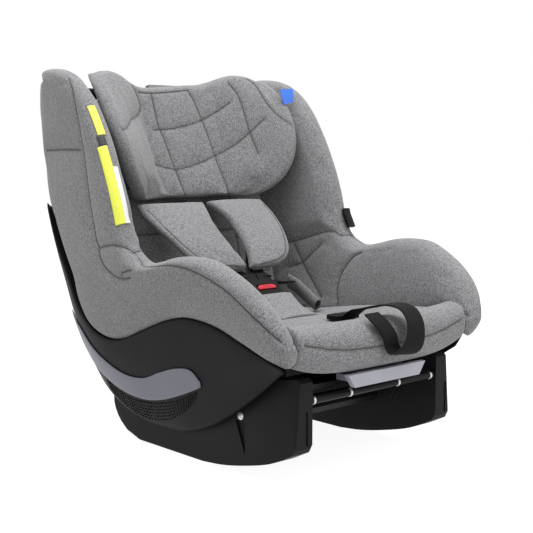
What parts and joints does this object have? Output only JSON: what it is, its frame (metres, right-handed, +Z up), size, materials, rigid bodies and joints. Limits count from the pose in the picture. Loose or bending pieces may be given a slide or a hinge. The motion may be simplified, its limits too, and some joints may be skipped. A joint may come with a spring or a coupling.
{
  "type": "convertible car seat",
  "caption": "Child car seat: padded bucket with deep wings, harness, buckle and a height-adjustable headrest, reclining on a two-skid base with docking bars.",
  "frame": {"origin": "centre of the whole seat's box, on the surface that the skids stand on", "axes": "+Z up, the seat faces -Y, +X is right when seen from the front; the seat is symmetric about X = 0 except for the pull strap, label, tab and belt guide"},
  "size_m": [0.4506, 0.5549, 0.5358],
  "materials": {
    "charcoal_plastic": "fine matte texture",
    "black_plastic": "satin",
    "steel": "zinc plated",
    "lilac_grey_plastic": "satin painted",
    "light_grey_plastic": "satin",
    "grey_melange_fabric": "woven melange cloth over soft foam",
    "dark_melange_fabric": "woven melange cloth",
    "black_webbing": "woven polyester webbing",
    "red_plastic": "semi gloss",
    "blue_fabric": "woven tape",
    "yellow_fabric": "woven label",
    "foam": "expanded foam"
  },
  "bodies": {
    "base": {"skid_left": "charcoal_plastic", "skid_right": "charcoal_plastic", "foot_insert_left": "black_plastic", "foot_insert_right": "black_plastic", "guide_pin_left": "steel", "guide_pin_right": "steel", "base_pan": "charcoal_plastic", "front_beam": "charcoal_plastic", "rear_beam": "charcoal_plastic", "dock_bar_front": "steel", "dock_bar_rear": "steel", "recline_rack": "steel"},
    "bucket": {"side_cover_left": "grey_melange_fabric", "side_cover_right": "grey_melange_fabric", "side_panel_left": "charcoal_plastic", "side_panel_right": "charcoal_plastic", "side_trim_left": "lilac_grey_plastic", "side_trim_right": "lilac_grey_plastic", "vent_grille_left": "black_plastic", "vent_grille_right": "black_plastic", "back_shell": "charcoal_plastic", "seat_pad": "grey_melange_fabric", "backrest_pad": "grey_melange_fabric", "foam_core": "foam", "lip_cover": "grey_melange_fabric", "front_pan": "charcoal_plastic", "headrest_guide": "charcoal_plastic", "buckle_body": "black_plastic", "tongue_left": "steel", "tongue_right": "steel", "crotch_pad": "grey_melange_fabric", "crotch_strap": "black_webbing", "hip_sleeve_left": "dark_melange_fabric", "hip_sleeve_right": "dark_melange_fabric", "lap_strap_left": "black_webbing", "lap_strap_right": "black_webbing", "adjuster_housing": "black_plastic", "adjuster_strap": "black_webbing", "label_patch": "yellow_fabric", "belt_guide": "black_plastic"},
    "headrest": {"headrest_pad": "grey_melange_fabric", "headrest_shell": "black_plastic", "headrest_tab": "blue_fabric", "shoulder_pad_left": "grey_melange_fabric", "shoulder_pad_right": "grey_melange_fabric", "shoulder_strap_left": "black_webbing", "shoulder_strap_right": "black_webbing"},
    "handle": {"recline_handle": "light_grey_plastic"},
    "latch": {"recline_latch": "steel"},
    "buckle_release": {"buckle_button": "red_plastic"},
    "adjuster_release": {"adjuster_button": "steel"},
    "headrest_release": {"headrest_lever": "light_grey_plastic"}
  },
  "joints": [
    {"name": "seat_recline", "type": "hinge", "parent": "base", "child": "bucket", "pos_m": [0, 0.0574, 0.262], "axis": [-1, 0, 0], "range_deg": [0, 16]},
    {"name": "headrest_height", "type": "slide", "parent": "bucket", "child": "headrest", "axis": [0, 0.2689, 0.9632], "range_m": [0, 0.11]},
    {"name": "headrest_lever_lift", "type": "slide", "parent": "headrest", "child": "headrest_release", "axis": [0, 0.2689, 0.9632], "range_m": [0, 0.006], "stiffness_N_per_m": 600, "springref_m": -0.002},
    {"name": "recline_handle_pull", "type": "slide", "parent": "bucket", "child": "handle", "axis": [0, -1, 0], "range_m": [0, 0.012], "stiffness_N_per_m": 800, "springref_m": -0.002},
    {"name": "recline_latch_lift", "type": "slide", "parent": "bucket", "child": "latch", "axis": [0, 0.2924, 0.9563], "range_m": [0, 0.006]},
    {"name": "buckle_button_press", "type": "slide", "parent": "bucket", "child": "buckle_release", "axis": [0, 0.7071, -0.7071], "range_m": [0, 0.004], "stiffness_N_per_m": 1500, "springref_m": -0.001},
    {"name": "adjuster_button_press", "type": "slide", "parent": "bucket", "child": "adjuster_release", "axis": [0, 0, -1], "range_m": [0, 0.004], "stiffness_N_per_m": 1200, "springref_m": -0.001}
  ],
  "couplings": [
    {"joint": "recline_latch_lift", "follows": "recline_handle_pull", "ratio": 0.5}
  ]
}
